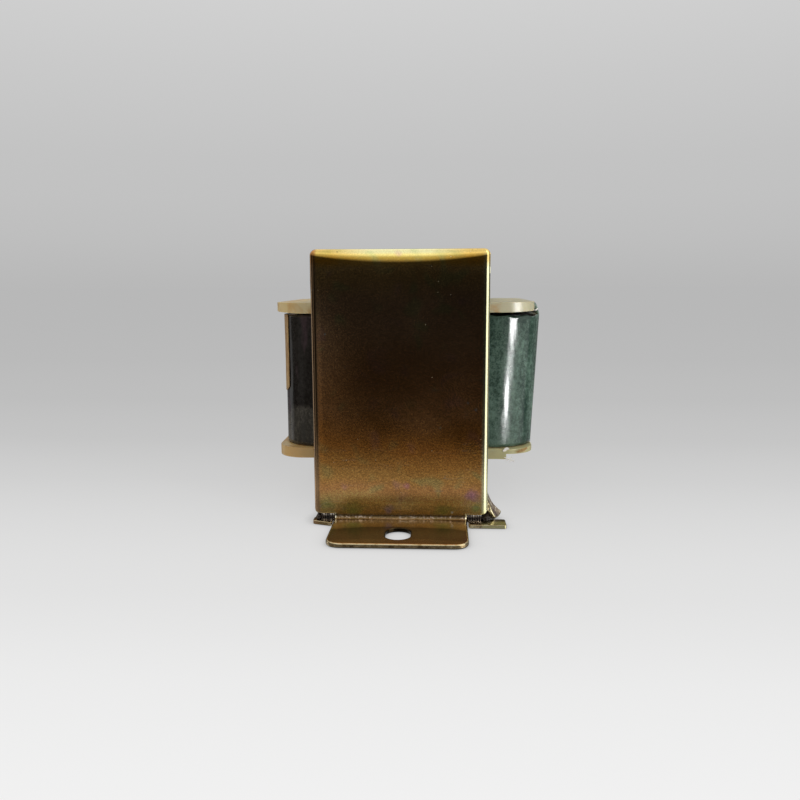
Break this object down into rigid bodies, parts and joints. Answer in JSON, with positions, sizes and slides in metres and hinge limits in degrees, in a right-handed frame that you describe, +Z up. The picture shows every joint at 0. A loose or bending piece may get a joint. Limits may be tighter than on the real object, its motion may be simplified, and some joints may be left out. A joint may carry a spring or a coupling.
{
  "type": "chassis transformer",
  "caption": "Chassis transformer with an EI lamination core and taped coil on an ivory bobbin, held in a folded channel frame with two slotted feet.",
  "frame": {"origin": "On the mounting plane under the base plate, in the middle of the core.", "axes": "X runs through the lamination stack, Y along the core from foot to foot, Z up from the mounting plane."},
  "size_m": [0.06, 0.101, 0.0572],
  "materials": {
    "plated_steel": "satin",
    "plate_steel": "satin",
    "core_iron": "satin",
    "bobbin_plastic": "satin",
    "copper_wire": "gloss",
    "barrier_film": "gloss",
    "wrap_paper": "matte",
    "outer_film": "gloss"
  },
  "bodies": {
    "root": {"channel_frame": "plated_steel", "base_plate": "plate_steel", "lower_e_laminations": "core_iron", "upper_i_laminations": "core_iron", "upper_e_laminations": "core_iron", "lower_i_laminations": "core_iron", "bobbin": "bobbin_plastic", "primary_winding": "copper_wire", "winding_barrier": "barrier_film", "secondary_winding": "copper_wire", "paper_wrap": "wrap_paper", "outer_tape": "outer_film", "paper_strip": "wrap_paper"}
  },
  "joints": []
}
